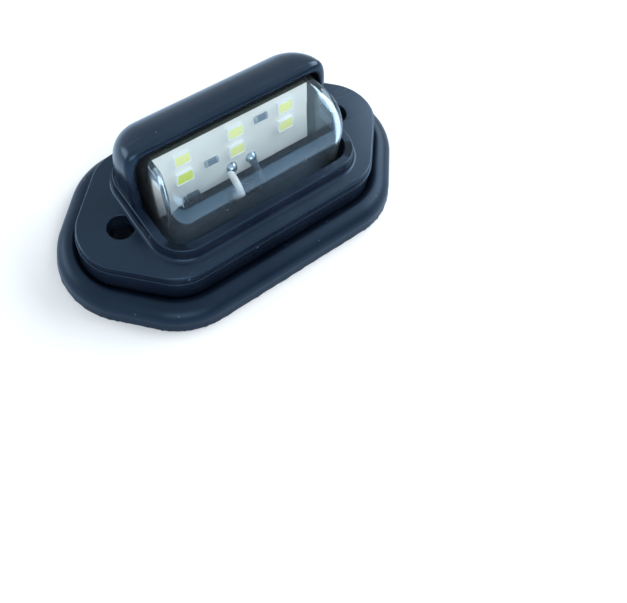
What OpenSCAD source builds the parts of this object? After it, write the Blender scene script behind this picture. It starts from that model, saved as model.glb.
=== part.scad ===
// Number plate lamp with six light-emitting diodes under a hooded, moulded housing.
// The origin is the centre of the rubber pad's flat back. X runs along the lamp, +Z points
// out of the mounting surface, and the open side of the hood looks towards -Y.

/* [Rubber pad] */
// Length of the pad
pad_len = 89; // [86:0.5:96]
// Width of the pad
pad_w = 50; // [48:0.5:56]
// Angle between the pad's pointed ends and its long axis
pad_slope = 46.4; // [44:0.2:50]
// Corner radius of the pad
pad_corner_r = 18; // [14:0.5:20]
// Thickness of the pad's floor
pad_floor = 2.5; // [1.5:0.1:4]
// Height of the rounded rim at its crest
rim_h = 5.5; // [5:0.1:6.5]
// Distance from the pad's outer edge to the crest of the rim
rim_crest_in = 4; // [3:0.1:4.4]
// Depth of the groove between the crest and the housing
rim_groove = 1.7; // [0.5:0.1:2.2]
// Clearance between the pad's inner wall and the housing
pad_gap = 0.15; // [0.1:0.05:0.3]

/* [Fixing] */
// Distance between the two screw holes
hole_spacing = 58.7; // [58:0.1:62]
// Diameter of the screw holes through pad and bosses
hole_d = 5.5; // [4:0.1:5.6]
// Diameter of the recess for the screw in the base plate
recess_d = 6; // [5.8:0.1:7.5]
// Depth of that recess
recess_depth = 2.6; // [1:0.1:6]
// Outer diameter of the screw bosses
boss_d = 9.4; // [8.6:0.1:10.4]
// Diameter of the two plain holes on the pad's short axis
relief_d = 5.8; // [3:0.1:7]
// Distance between those two holes
relief_spacing = 24.9; // [20:0.1:26]
// Diameter of the outlet for the wires
outlet_d = 5; // [4.6:0.1:6.5]

/* [Housing] */
// Length of the base plate
base_len = 78; // [76:0.5:79]
// Width of the base plate
base_w = 37.2; // [36.6:0.2:38.4]
// Angle between the base plate's pointed ends and its long axis
base_slope = 45.5; // [43:0.5:50]
// Corner radius of the base plate
base_corner_r = 10.6; // [8:0.2:12]
// Height of the base above the pad's floor
base_h = 9.3; // [8.8:0.1:11]
// Thickness of the base plate
plate_t = 2.2; // [1.6:0.1:2.6]
// Wall of the base below the plate
skirt_wall = 2; // [1.4:0.1:2.6]
// Depth of the lip round the top of the base
lip_h = 2.2; // [1:0.1:3.5]
// How far the base stands out below the lip
lip_step = 0.3; // [0.1:0.05:0.6]
// Rounding of the base plate's upper edge
edge_r = 0.5; // [0.2:0.1:1]
// Length of the raised frame at its foot
frame_len = 52.6; // [51.5:0.1:54]
// Width of the raised frame at its foot
frame_w = 30.5; // [29.5:0.1:31]
// Corner radius of the raised frame at its foot
frame_corner_r = 7.6; // [7:0.1:9]
// Height of the raised frame above the base plate
frame_h = 3; // [1.5:0.1:4]
// How far each side of the frame leans in over its height
frame_draft = 0.35; // [0.1:0.05:0.6]
// Width of the frame's top band
frame_band = 2.08; // [1.8:0.02:2.4]
// Fillet round the foot of the frame
frame_foot_r = 0.8; // [0.3:0.1:1]

/* [Hood] */
// Height of the hood's top above the frame
hood_h = 15; // [14:0.1:18]
// Height of the hood's curved part
hood_curve_h = 10.76; // [9:0.1:12]
// How far the back of the hood curves in towards its top
hood_back_in = 9.45; // [8:0.1:10.5]
// How far each end of the hood curves in towards its top
hood_end_in = 4.1; // [3:0.1:5]
// Corner radius of the hood's outline at its foot
hood_foot_r = 9; // [8:0.1:10]
// Corner radius of the hood's outline at its top
hood_top_r = 4.4; // [3.5:0.1:5]
// Step between the frame's edge and the foot of the hood
hood_step = 0.16; // [0.1:0.02:0.4]
// Thickness of the hood's roof
roof_t = 1.6; // [1.2:0.1:2]
// Where the rim's inner edge stands at the foot, from the long axis
rim_foot_y = -0.2; // [-1:0.1:1]
// Lean of the hood's rim away from the open side
rim_lean = 9; // [0:0.5:12]
// Depth of the rounded edge of the rim
rim_round = 1.3; // [0.6:0.1:2]

/* [Lens] */
// Gap between the lens and the frame at each end
lens_gap_x = 1.5; // [1:0.05:2.2]
// Gap between the lens and the frame at front and back
lens_gap_y = 1.05; // [0.8:0.05:1.6]
// Gap between the lens and the hood's ceiling
lens_gap_z = 0.8; // [0.6:0.1:1.4]
// Wall of the lens
lens_wall = 1.2; // [0.8:0.1:1.4]
// Corner radius of the lens
lens_corner_r = 4; // [3:0.1:5]
// Corner radius of the lens at its top
lens_top_r = 2.8; // [2:0.1:3.5]
// Height of the lens's curved part
lens_curve_h = 8; // [6:0.1:9]
// How far the front and the back of the lens curve in
lens_side_in = 7.6; // [6:0.1:8.5]
// How far each end of the lens curves in
lens_end_in = 2; // [1:0.1:2.6]
// Thickness of the lens's flange
flange_t = 1.5; // [1:0.1:2]
// How far the flange reaches under the base plate
flange_out = 1.7; // [1:0.1:1.9]
// Clearance round the flange and the back cover
flange_gap = 0.15; // [0.1:0.05:0.3]

/* [Back cover] */
// Thickness of the back cover
cover_t = 2; // [1.2:0.1:2.4]
// Width of the slot for the leads
slot_w = 3.6; // [2.4:0.1:4]
// Width of each bracket that carries the board
bracket_w = 2.4; // [1.5:0.1:4]
// Distance between the brackets
bracket_spacing = 26; // [20:0.5:32]
// Depth of a bracket behind the board
bracket_depth = 4; // [3:0.1:4.5]

/* [Circuit board] */
// Length of the board
board_len = 39.9; // [38:0.1:40.4]
// Gap between the board's top edge and the lens
board_gap = 0.6; // [0.4:0.1:1]
// Thickness of the board
board_t = 1.2; // [0.8:0.1:1.6]
// Angle between the board's face and the mounting surface
board_tilt = 77.5; // [75:0.5:80]
// Distance of the board's lower front edge from the long axis
board_foot_y = -1.7; // [-2.4:0.1:-1]
// Distance of that edge above the back cover
board_foot_h = 2.25; // [2:0.05:2.4]
// Distance between neighbouring light sources
led_pitch = 13.36; // [12:0.02:14]
// Distance between the two rows of light sources, as a share of the board's height
led_rows_share = 0.333; // [0.3:0.005:0.35]
// Distance from the board's top edge to the upper row, as a share of the board's height
led_drop_share = 0.19; // [0.17:0.005:0.22]
// Height of the solder joints' middles, as a share of the board's height
solder_share = 0.173; // [0.15:0.001:0.18]
// Length of a light source
led_len = 4; // [3.9:0.1:4.4]
// Width of a light source
led_w = 3.1; // [2.9:0.1:3.4]
// Height of a light source
led_h = 0.8; // [0.6:0.1:1]
// Length of its yellow window
window_len = 3.6; // [3.2:0.1:3.7]
// Width of its yellow window
window_w = 2.5; // [2.2:0.1:2.7]
// Depth of the window's well
window_depth = 0.4; // [0.2:0.05:0.5]
// Length of a resistor
resistor_len = 3.2; // [2.8:0.1:3.4]
// Width of a resistor
resistor_w = 1.6; // [1.2:0.1:1.8]
// Height of a resistor
resistor_h = 0.55; // [0.4:0.05:0.7]
// Length of the diode
diode_len = 3.6; // [3.2:0.1:4.2]
// Width of the diode
diode_w = 1.7; // [1.4:0.1:1.8]
// Height of the diode
diode_h = 1.1; // [0.8:0.1:1.3]
// Radius of a solder joint
solder_r = 1.3; // [1.2:0.05:1.4]
// Angle at which a lead leaves its solder joint, below the board's normal
lead_dip = 42; // [30:1:50]

/* [Wires] */
// Diameter of each wire over its insulation
wire_d = 1.7; // [1.5:0.05:1.75]
// Height of the strip that ties the folded wires
tie_h = 2.8; // [2:0.1:3.4]
// Thickness of that strip
tie_t = 0.9; // [0.6:0.1:1.4]

/* [Hidden] */
$fn = 72;

// Heights above the pad's back
base_top = pad_floor + base_h;
plate_bottom = base_top - plate_t;
flange_bottom = plate_bottom - flange_t;
cover_bottom = flange_bottom - cover_t;
frame_top = base_top + frame_h;
hood_top = frame_top + hood_h;
ceiling = hood_top - roof_t;
lens_top = ceiling - lens_gap_z;
lip_z = base_top - lip_h;

// The board fills the height between the back cover and the lens
board_foot_z = flange_bottom + board_foot_h;
board_h = (lens_top - lens_wall - board_gap - board_foot_z) / sin(board_tilt);
led_rows = board_h * led_rows_share;
led_drop = board_h * led_drop_share;

// Half sizes of the opening, the lens, its flange and the chamber behind it
open_x = frame_len / 2 - frame_draft - frame_band;
open_y = frame_w / 2 - frame_draft - frame_band;
open_r = frame_corner_r - frame_draft - frame_band;
lens_x = open_x - lens_gap_x;
lens_y = open_y - lens_gap_y;
flange_x = open_x + flange_out;
flange_y = open_y + flange_out;
flange_r = open_r + flange_out;
chamber_x = flange_x + flange_gap;
chamber_y = flange_y + flange_gap;
chamber_r = flange_r + flange_gap;

// Points on each rounded corner of a moulding that is skinned from outlines
CORNER_STEPS = 8;
// Levels of a curved top
DOME_STEPS = 8;
// Points across the rounded edge of the hood's rim
NOSE_STEPS = 4;
// Overlap that makes a cut pass through a face
CUT = 1;
// Side count and ring spacing of a wire's tube
TUBE_SIDES = 8;

// Routes of the leads inside the lamp, from near the solder joint to the outlet in the pad
WHITE_ROUTE = [
    [-1.8, -3.3, 10.9], [-1.9, -3.4, 9.4], [-2.0, -3.3, 7.9], [-1.9, -2.9, 6.3], [-1.6, -2.2, 5.0],
    [-1.2, -1.1, 4.0], [-1.03, -0.25, 2.9], [-1.0, 0, 1.5], [-1.0, 0, 0]
];
BLACK_ROUTE = [
    [3.6, -3.3, 10.9], [3.4, -3.4, 9.4], [3.0, -3.3, 7.9], [2.5, -2.9, 6.3], [1.9, -2.2, 5.0],
    [1.3, -1.1, 4.0], [1.03, -0.25, 2.9], [1.0, 0, 1.5], [1.0, 0, 0]
];
// The free wires, from the outlet straight down to the folded hank
WHITE_FREE = [[-1.0, 0, 0], [-1.0, 0, -3.4], [-1.0, 0, -6.8], [-1.0, 0, -10]];
BLACK_FREE = [[1.0, 0, 0], [1.0, 0, -3.4], [1.0, 0, -6.8], [1.0, 0, -10]];
// Folded hanks: distance between the ends' centres, radius of a fold, pull of the tie
HANK_RUN = 22;
HANK_FOLD_R = 5.1;
HANK_PULL = 3.4;
HANK_TOP = -10;
HANK_IN = 0.15;
HANK_TURNS = 2;
// Points along a hank's side and sides of its fold
HANK_STEPS = 12;
FOLD_STEPS = 11;

// Corner circles' centres of an outline with two pointed ends, counter-clockwise
function pointed(length, width, slope, r) =
    let (x_tip = length / 2 - r, y = width / 2 - r, x = x_tip - y / tan(slope))
    [[x_tip, 0], [x, y], [-x, y], [-x_tip, 0], [-x, -y], [x, -y]];

// Corner circles' centres of a rounded rectangle, from its half sizes
function corners(x, y, r) = [[x - r, r - y], [x - r, y - r], [r - x, y - r], [r - x, r - y]];

// Direction that the side from corner i of c faces
function facing(c, i) =
    let (a = c[i], b = c[(i + 1) % len(c)]) atan2(b[1] - a[1], b[0] - a[0]) - 90;

// Angle of corner i of c
function turn(c, i) =
    let (n = len(c), t = facing(c, i) - facing(c, (i + n - 1) % n)) t < 0 ? t + 360 : t;

// Points of the outline round the circles c of radius r
function outline(c, r, steps = CORNER_STEPS) = [
    for (i = [0 : len(c) - 1])
        for (k = [0 : steps])
            let (a = facing(c, i) - turn(c, i) * (1 - k / steps))
            c[i] + r * [cos(a), sin(a)]
];

// An outline raised to the height z
function raised(points, z) = [for (p = points) [p[0], p[1], z]];

// Points of an arc in the plane
function arc(centre, r, from, to, steps) = [
    for (k = [0 : steps])
        let (a = from + (to - from) * k / steps) centre + r * [cos(a), sin(a)]
];

// Points part of the way from one outline to another with as many points
function between(a, b, t) = [for (i = [0 : len(a) - 1]) a[i] + t * (b[i] - a[i])];

// A straight-sided block with the outline c of radius r
module block(c, r, z0, z1) {
    translate([0, 0, z0]) linear_extrude(z1 - z0) polygon(outline(c, r));
}

// A block with round upright edges, from its half sizes
module slab(x, y, r, z0, z1) {
    translate([r - x, -y, z0]) cube([2 * (x - r), 2 * y, z1 - z0]);
    translate([-x, r - y, z0]) cube([2 * x, 2 * (y - r), z1 - z0]);
    for (c = corners(x, y, r)) translate([c[0], c[1], z0]) cylinder(r = r, h = z1 - z0);
}

// Faces that join two neighbouring rings of n points, the first ring at index a
function belt(a, b, n) = [
    for (i = [0 : n - 1])
        let (j = (i + 1) % n)
        each [[a + i, a + j, b + j], [a + i, b + j, b + i]]
];

// A solid skinned over rings of equally many points, closed by a flat face at each end
module skin(rings) {
    n = len(rings[0]);
    m = len(rings);
    polyhedron(
        points = [for (r = rings) each r],
        faces = concat(
            [[for (i = [0 : n - 1]) i]],
            [for (k = [0 : m - 2]) each [for (f = belt(k * n, (k + 1) * n, n)) [f[2], f[1], f[0]]]],
            [[for (i = [n - 1 : -1 : 0]) (m - 1) * n + i]]
        ),
        convexity = 6
    );
}

// Share of a curve's inset that is reached at the angle a: sides first, ends later
function side_in(a) = 1 - cos(a);
function end_in(a) = pow(1 - cos(a), 2);

// Rubber pad: a tray with a rounded rim, pierced for screws and wires
pad_corners = pointed(pad_len, pad_w, pad_slope, pad_corner_r);
base_corners = pointed(base_len, base_w, base_slope, base_corner_r);
frame_corners = corners(frame_len / 2, frame_w / 2, frame_corner_r);
skirt_r = base_corner_r + lip_step;

module rubber_pad() {
    side = 0.3;
    bead = rim_crest_in - side;
    crest_r = pad_corner_r - rim_crest_in;
    crest = outline(pad_corners, crest_r);
    recess = outline(base_corners, skirt_r + pad_gap);
    color([0.07, 0.07, 0.08]) difference() {
        skin(concat(
            [raised(outline(pad_corners, pad_corner_r), 0)],
            [for (p = arc([crest_r, rim_h - bead], bead, 0, 90, 7))
                raised(outline(pad_corners, p[0]), p[1])],
            [for (t = [0.25 : 0.25 : 1])
                raised(between(crest, recess, t), rim_h - rim_groove * pow(t, 2))],
            [raised(recess, pad_floor)]
        ));
        for (x = [-1, 1] * hole_spacing / 2)
            translate([x, 0, -CUT]) cylinder(d = hole_d, h = pad_floor + 2 * CUT);
        for (y = [-1, 1] * relief_spacing / 2)
            translate([0, y, -CUT]) cylinder(d = relief_d, h = pad_floor + 2 * CUT);
        translate([0, 0, -CUT]) cylinder(d = outlet_d, h = pad_floor + 2 * CUT);
    }
}

// Housing: base plate, skirt, screw bosses, raised frame and hood in one moulding
module base_block() {
    r = base_corner_r;
    skin(concat(
        [for (p = [[skirt_r, pad_floor], [skirt_r, lip_z], [r, lip_z]])
            raised(outline(base_corners, p[0]), p[1])],
        [for (p = arc([r - edge_r, base_top - edge_r], edge_r, 0, 90, 4))
            raised(outline(base_corners, p[0]), p[1])]
    ));
}

// Raised frame with a small fillet round its foot
module frame_block() {
    foot_r = frame_corner_r + frame_foot_r;
    profile = concat(
        [[foot_r, plate_bottom + plate_t / 2]],
        arc([foot_r, base_top + frame_foot_r], frame_foot_r, 270, 180, 4),
        [[frame_corner_r - frame_draft, frame_top]]
    );
    skin([for (p = profile) raised(outline(frame_corners, p[0]), p[1])]);
}

// Hollows left and right of the light chamber, with the screw bosses standing in them
module end_hollows() {
    wall_x = chamber_x + skirt_wall;
    for (side = [-1, 1]) {
        difference() {
            intersection() {
                block(base_corners, base_corner_r - skirt_wall, pad_floor - CUT, plate_bottom);
                translate([side > 0 ? wall_x : -wall_x - base_len, -base_w, pad_floor - CUT])
                    cube([base_len, 2 * base_w, plate_bottom]);
            }
            translate([side * hole_spacing / 2, 0, pad_floor - CUT])
                cylinder(d = boss_d, h = base_h + CUT);
        }
    }
}

// Rings of the hood: outer wall, rounded rim edge, inner wall and rim edge again
hood_x = frame_len / 2 - frame_draft - hood_step;
hood_y = frame_w / 2 - frame_draft - hood_step;
hood_in_x = open_x + 0.05;
hood_in_y = open_y + 0.05;
inner_curve_h = hood_curve_h - roof_t;
inner_back_in = hood_back_in - (hood_y - hood_in_y);
inner_end_in = hood_end_in - 0.9;
inner_foot_r = hood_foot_r - (hood_x - hood_in_x);
inner_top_r = hood_top_r - 1.4;

function rim_y(z) = rim_foot_y + (z - frame_top) * tan(rim_lean);

// Half outline, from the right rim round the back to the left rim, at the height z
function wall_line(x, y, r, front, z) = concat(
    [[x, front, z]],
    [for (p = arc([x - r, y - r], r, 0, 90, CORNER_STEPS)) [p[0], p[1], z]],
    [for (p = arc([r - x, y - r], r, 90, 180, CORNER_STEPS)) [p[0], p[1], z]],
    [[-x, front, z]]
);

// Points of the rounded edge between the wall's outer end o and its inner end p
function nose(o, p) = [
    for (k = [1 : NOSE_STEPS - 1])
        let (t = 90 * k / NOSE_STEPS)
        [o[0] + (p[0] - o[0]) * (1 - cos(t)), o[1] + (p[1] - o[1]) * sin(t),
            o[2] + (p[2] - o[2]) * (1 - cos(t))]
];

function reversed(list) = [for (i = [len(list) - 1 : -1 : 0]) list[i]];

function hood_ring(a, rise) =
    let (
        zo = rise ? hood_top - hood_curve_h * (1 - sin(a)) : frame_top,
        zi = rise ? ceiling - inner_curve_h * (1 - sin(a)) : frame_top,
        outer = wall_line(hood_x - hood_end_in * end_in(a), hood_y - hood_back_in * side_in(a),
            hood_foot_r + (hood_top_r - hood_foot_r) * side_in(a), rim_y(zo) + rim_round, zo),
        inner = wall_line(hood_in_x - inner_end_in * end_in(a), hood_in_y - inner_back_in * side_in(a),
            inner_foot_r + (inner_top_r - inner_foot_r) * side_in(a), rim_y(zi), zi),
        n = len(outer) - 1
    )
    concat(outer, nose(outer[n], inner[n]), reversed(inner), reversed(nose(outer[0], inner[0])));

module hood() {
    rings = concat(
        [hood_ring(0, false)],
        [for (k = [0 : DOME_STEPS]) hood_ring(90 * k / DOME_STEPS, true)]
    );
    m = len(rings) - 1;
    n = len(rings[0]);
    wall = 2 * (CORNER_STEPS + 1) + 2;
    edge = NOSE_STEPS - 1;
    top = m * n;
    right = concat([0], [for (k = [1 : edge]) n - k], [2 * wall + edge - 1]);
    left = concat([wall - 1], [for (k = [0 : edge - 1]) wall + k], [wall + edge]);
    polyhedron(
        points = [for (r = rings) each r],
        faces = concat(
            [for (i = [0 : wall - 2])
                let (a = i, b = i + 1, c = 2 * wall + edge - 2 - i, d = c + 1)
                each [[a, b, c], [a, c, d]]],
            [for (k = [0 : edge - 1]) [left[k], left[k + 1], left[edge + 1]]],
            [for (k = [0 : edge - 1]) [right[k + 1], right[k], right[edge + 1]]],
            [for (k = [0 : m - 1]) each [for (f = belt(k * n, (k + 1) * n, n)) [f[2], f[1], f[0]]]],
            [[for (i = [wall - 1 : -1 : 0]) top + i]],
            [[for (i = [0 : wall - 1]) top + 2 * wall + edge - 1 - i]],
            [for (k = [0 : edge])
                each [[top + left[k], top + right[k], top + right[k + 1]],
                    [top + left[k], top + right[k + 1], top + left[k + 1]]]]
        ),
        convexity = 8
    );
}

module housing() {
    color([0.1, 0.11, 0.13]) {
        difference() {
            union() {
                base_block();
                frame_block();
            }
            slab(open_x, open_y, open_r, plate_bottom - CUT, frame_top + CUT);
            slab(chamber_x, chamber_y, chamber_r, pad_floor - CUT, plate_bottom);
            end_hollows();
            for (x = [-1, 1] * hole_spacing / 2) {
                translate([x, 0, pad_floor - CUT]) cylinder(d = hole_d, h = base_h + 2 * CUT);
                translate([x, 0, base_top - recess_depth])
                    cylinder(d = recess_d, h = recess_depth + frame_foot_r + CUT);
            }
        }
        hood();
    }
}

// Lens: a clear shell with a rounded top and a flange that the base plate holds down
function lens_ring(x, y, top, r, r_top, curve_h, side, end, a) =
    let (rr = r + (r_top - r) * side_in(a), px = x - end * end_in(a), py = y - side * side_in(a))
    raised(outline(corners(px, py, rr), rr), top - curve_h * (1 - sin(a)));

module lens() {
    w = lens_wall;
    angles = [for (k = [0 : DOME_STEPS]) 90 * k / DOME_STEPS];
    outer = [for (a = angles)
        lens_ring(lens_x, lens_y, lens_top, lens_corner_r, lens_top_r, lens_curve_h,
            lens_side_in, lens_end_in, a)];
    inner = [for (a = angles)
        lens_ring(lens_x - w, lens_y - w, lens_top - w, lens_corner_r - w, lens_top_r - w,
            lens_curve_h, lens_side_in - w / 2, lens_end_in - w / 3, a)];
    foot = corners(lens_x, lens_y, lens_corner_r);
    hollow = corners(lens_x - w, lens_y - w, lens_corner_r - w);
    flange = corners(flange_x, flange_y, flange_r);
    color([0.85, 0.9, 0.95, 0.35]) skin(concat(
        reversed(inner),
        [raised(outline(hollow, lens_corner_r - w), flange_bottom)],
        [raised(outline(flange, flange_r), flange_bottom)],
        [raised(outline(flange, flange_r), plate_bottom)],
        [raised(outline(foot, lens_corner_r), plate_bottom)],
        outer
    ));
}

// Places things on the board: x along it, y up its face from the lower edge, z out of its face
module on_board() {
    translate([0, board_foot_y, board_foot_z]) rotate([board_tilt, 0, 0]) children();
}

// Back cover: a plate under the lens's flange with two brackets that hold the board
module back_cover() {
    slot_r = slot_w / 2;
    slot_x = 2.6;
    slot_y = WHITE_ROUTE[2][1];
    board_y = [cos(board_tilt), sin(board_tilt)];
    board_z = [-sin(board_tilt), cos(board_tilt)];
    front = [board_foot_y, board_foot_z];
    back = front - board_t * board_z;
    high = back + 0.75 * board_h * board_y;
    color([0.12, 0.12, 0.13]) {
        difference() {
            slab(flange_x, flange_y, flange_r, cover_bottom, flange_bottom);
            translate([-slot_x, slot_y, cover_bottom - CUT])
                cylinder(r = slot_r, h = cover_t + 2 * CUT);
            translate([slot_x, slot_y, cover_bottom - CUT])
                cylinder(r = slot_r, h = cover_t + 2 * CUT);
            translate([-slot_x, slot_y - slot_r, cover_bottom - CUT])
                cube([2 * slot_x, 2 * slot_r, cover_t + 2 * CUT]);
        }
        for (x = [-1, 1] * bracket_spacing / 2)
            translate([x - bracket_w / 2, 0, 0]) rotate([90, 0, 90]) linear_extrude(bracket_w)
                polygon([
                    [front[0], flange_bottom - cover_t / 2], front, back, high,
                    high + [1.2, 0], [back[0] + bracket_depth, flange_bottom - cover_t / 2]
                ]);
    }
}

// Circuit board with the light sources and the small parts that are soldered to it
module circuit_board() {
    color([0.93, 0.94, 0.95]) on_board()
        translate([-board_len / 2, 0, -board_t]) cube([board_len, board_h, board_t]);
}

function led_place(i) = [(i % 3 - 1) * led_pitch, board_h - led_drop - floor(i / 3) * led_rows, 0];

module led(i) {
    color([0.95, 0.95, 0.93]) on_board() translate(led_place(i)) difference() {
        translate([-led_len / 2, -led_w / 2, 0]) cube([led_len, led_w, led_h]);
        translate([-window_len / 2, -window_w / 2, led_h - window_depth])
            cube([window_len, window_w, led_h]);
    }
}

module phosphor(i) {
    color([0.9, 0.92, 0.35]) on_board() translate(led_place(i))
        translate([-window_len / 2, -window_w / 2, led_h - window_depth])
            cube([window_len, window_w, window_depth]);
}

// Resistors stand beside the middle light sources, one in each row
resistor_x = [-6.4, 7.1];
resistor_y = [led_place(3)[1], led_place(0)[1]];
diode_x = -12.3;
diode_y = 1;
solder_x = [-1.6, 3.7];
solder_y = board_h * solder_share;
solder_face = 0.98;

module resistor(i) {
    color([0.2, 0.22, 0.25]) on_board()
        translate([resistor_x[i] - resistor_len / 2, resistor_y[i] - resistor_w / 2, 0])
            cube([resistor_len, resistor_w, resistor_h]);
}

module diode() {
    color([0.1, 0.1, 0.1]) on_board()
        translate([diode_x - diode_len / 2, diode_y - diode_w / 2, 0])
            cube([diode_len, diode_w, diode_h]);
}

module solder_joint(i) {
    far = 2 * solder_r;
    color([0.75, 0.77, 0.8]) on_board() translate([solder_x[i], solder_y, 0]) difference() {
        sphere(r = solder_r);
        translate([-far, -far, -far]) cube([2 * far, 2 * far, far]);
        rotate([lead_dip, 0, 0]) translate([-far, -far, solder_face]) cube([2 * far, 2 * far, far]);
    }
}

// Point of the board's own frame in the lamp's frame
function from_board(p) = [
    p[0], board_foot_y + p[1] * cos(board_tilt) - p[2] * sin(board_tilt),
    board_foot_z + p[1] * sin(board_tilt) + p[2] * cos(board_tilt)
];

// Start of a lead, d outside the middle of its solder joint
function lead_start(i, d) =
    from_board([solder_x[i], solder_y - d * sin(lead_dip), d * cos(lead_dip)]);

// Tube along a route: each ring stands square to the mean of the two neighbouring stretches
function unit(v) = v / norm(v);
function along(p, i) =
    unit((i > 0 ? unit(p[i] - p[i - 1]) : [0, 0, 0])
        + (i < len(p) - 1 ? unit(p[i + 1] - p[i]) : [0, 0, 0]));

function tube_ring(p, i, r) =
    let (t = along(p, i), u = unit(cross(t, [1, 0, 0])), v = cross(t, u))
    [for (k = [0 : TUBE_SIDES - 1])
        let (a = 360 * k / TUBE_SIDES) p[i] + r * (cos(a) * u + sin(a) * v)];

module tube(p, d) {
    skin([for (i = [0 : len(p) - 1]) reversed(tube_ring(p, i, d / 2))]);
}

module lead(i, route) {
    tube(concat([lead_start(i, solder_face), lead_start(i, 2 * solder_face)], route), wire_d);
}

module white_lead() {
    color([0.92, 0.93, 0.94]) lead(0, WHITE_ROUTE);
}

module black_lead() {
    color([0.08, 0.08, 0.09]) lead(1, BLACK_ROUTE);
}

module white_wire() {
    color([0.92, 0.93, 0.94]) tube(WHITE_FREE, wire_d);
}

module black_wire() {
    color([0.08, 0.08, 0.09]) tube(BLACK_FREE, wire_d);
}

// Outer shape of a hank: two round folds and runs that the tie pulls together
hank_r = HANK_FOLD_R + wire_d / 2;
hank_mid = HANK_TOP - hank_r * cos(90 / FOLD_STEPS) - HANK_RUN / 2;
hank_t = HANK_TURNS * wire_d;

function pulled(s) = hank_r - HANK_PULL * (1 + cos(360 * s / HANK_RUN)) / 2;
function hank_side(sign) = [
    for (k = [1 : HANK_STEPS - 1])
        let (s = sign * HANK_RUN * (k / HANK_STEPS - 0.5)) [sign * pulled(s), s]
];

module hank(side) {
    translate([side > 0 ? HANK_IN : -HANK_IN - hank_t, 0, hank_mid])
        rotate([90, 0, 90]) linear_extrude(hank_t)
            polygon(concat(
                arc([0, -HANK_RUN / 2], hank_r, 180, 360, FOLD_STEPS), hank_side(1),
                arc([0, HANK_RUN / 2], hank_r, 0, 180, FOLD_STEPS), hank_side(-1)
            ));
}

module white_hank() {
    color([0.92, 0.93, 0.94]) hank(-1);
}

module black_hank() {
    color([0.08, 0.08, 0.09]) hank(1);
}

// Tie round both hanks at their waist
module wire_tie() {
    inside_x = HANK_IN + hank_t + 0.05;
    inside_y = pulled(tie_h / 2) + 0.05;
    color([0.15, 0.15, 0.16]) translate([0, 0, hank_mid - tie_h / 2]) linear_extrude(tie_h)
        difference() {
            square([2 * (inside_x + tie_t), 2 * (inside_y + tie_t)], center = true);
            square([2 * inside_x, 2 * inside_y], center = true);
        }
}

rubber_pad();
housing();
lens();
back_cover();
circuit_board();
led(0);  // led_1
led(1);  // led_2
led(2);  // led_3
led(3);  // led_4
led(4);  // led_5
led(5);  // led_6
phosphor(0);  // phosphor_1
phosphor(1);  // phosphor_2
phosphor(2);  // phosphor_3
phosphor(3);  // phosphor_4
phosphor(4);  // phosphor_5
phosphor(5);  // phosphor_6
resistor(0);  // resistor_1
resistor(1);  // resistor_2
diode();
solder_joint(0);  // solder_joint_1
solder_joint(1);  // solder_joint_2
white_lead();
black_lead();
white_wire();
black_wire();
white_hank();
black_hank();
wire_tie();
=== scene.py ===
# %% [markdown]
# # A number plate lamp: rubber pad, hooded housing, clear lens and a small circuit board
# Lengths are in millimetres until a mesh is made, because the measured sizes are round numbers there.
# Every moulding is a family of closed outlines stacked over a profile: one formula gives the outline,
# another one gives the profile, and the surface is their product.

import bmesh
import bpy
import numpy as np
from mathutils import Euler, Matrix, Vector
from mathutils.geometry import tessellate_polygon


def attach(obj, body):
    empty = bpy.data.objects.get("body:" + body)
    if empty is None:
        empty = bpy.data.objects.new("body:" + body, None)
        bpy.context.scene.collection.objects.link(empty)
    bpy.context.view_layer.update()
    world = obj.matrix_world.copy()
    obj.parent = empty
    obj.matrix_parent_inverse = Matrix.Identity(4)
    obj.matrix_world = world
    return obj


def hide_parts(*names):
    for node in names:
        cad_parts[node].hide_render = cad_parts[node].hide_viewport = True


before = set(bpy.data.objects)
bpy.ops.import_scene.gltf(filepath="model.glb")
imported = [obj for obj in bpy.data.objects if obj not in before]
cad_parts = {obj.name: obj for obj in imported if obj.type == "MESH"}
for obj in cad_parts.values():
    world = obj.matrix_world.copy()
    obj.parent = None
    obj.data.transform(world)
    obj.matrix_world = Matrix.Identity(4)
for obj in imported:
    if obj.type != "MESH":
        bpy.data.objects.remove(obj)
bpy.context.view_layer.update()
rng = np.random.default_rng(7)
MM_PER_M = 1000

# %% [markdown]
# ## Camera
# The camera's place was solved from the photo's outlines of the pad and the base plate. The lamp fills
# one corner of the picture, so the camera has a shift as well.

# %% Camera
WIDTH_PX, HEIGHT_PX = 627, 603
FOCAL_PX, CENTRE_PX = 666.0, (222.27, 193.47)
SENSOR_MM, NEAREST_M = 36.0, 0.005
CAMERA_AT_M = (-0.056447, -0.072221, 0.132163)
CAMERA_TURN_DEG = (34.8752, -1.4214, -34.4077)

camera_data = bpy.data.cameras.new("camera")
camera_data.sensor_fit = "HORIZONTAL"
camera_data.sensor_width = SENSOR_MM
camera_data.lens = FOCAL_PX / WIDTH_PX * SENSOR_MM
camera_data.shift_x = (WIDTH_PX / 2 - CENTRE_PX[0]) / WIDTH_PX
camera_data.shift_y = (CENTRE_PX[1] - HEIGHT_PX / 2) / WIDTH_PX
camera_data.clip_start = NEAREST_M
camera = bpy.data.objects.new("camera", camera_data)
camera.location = CAMERA_AT_M
camera.rotation_euler = Euler(np.radians(CAMERA_TURN_DEG))
bpy.context.scene.collection.objects.link(camera)
bpy.context.scene.camera = camera
print(f"lens {camera_data.lens:.2f} mm, shift {camera_data.shift_x:.3f} {camera_data.shift_y:.3f}")

# %% [markdown]
# ## Outlines
# An outline is a string of circles with a belt round them. Its centres are fixed and its radius is free,
# so a larger radius gives a parallel curve: walls, lips and grooves all come from the same centres.

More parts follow.
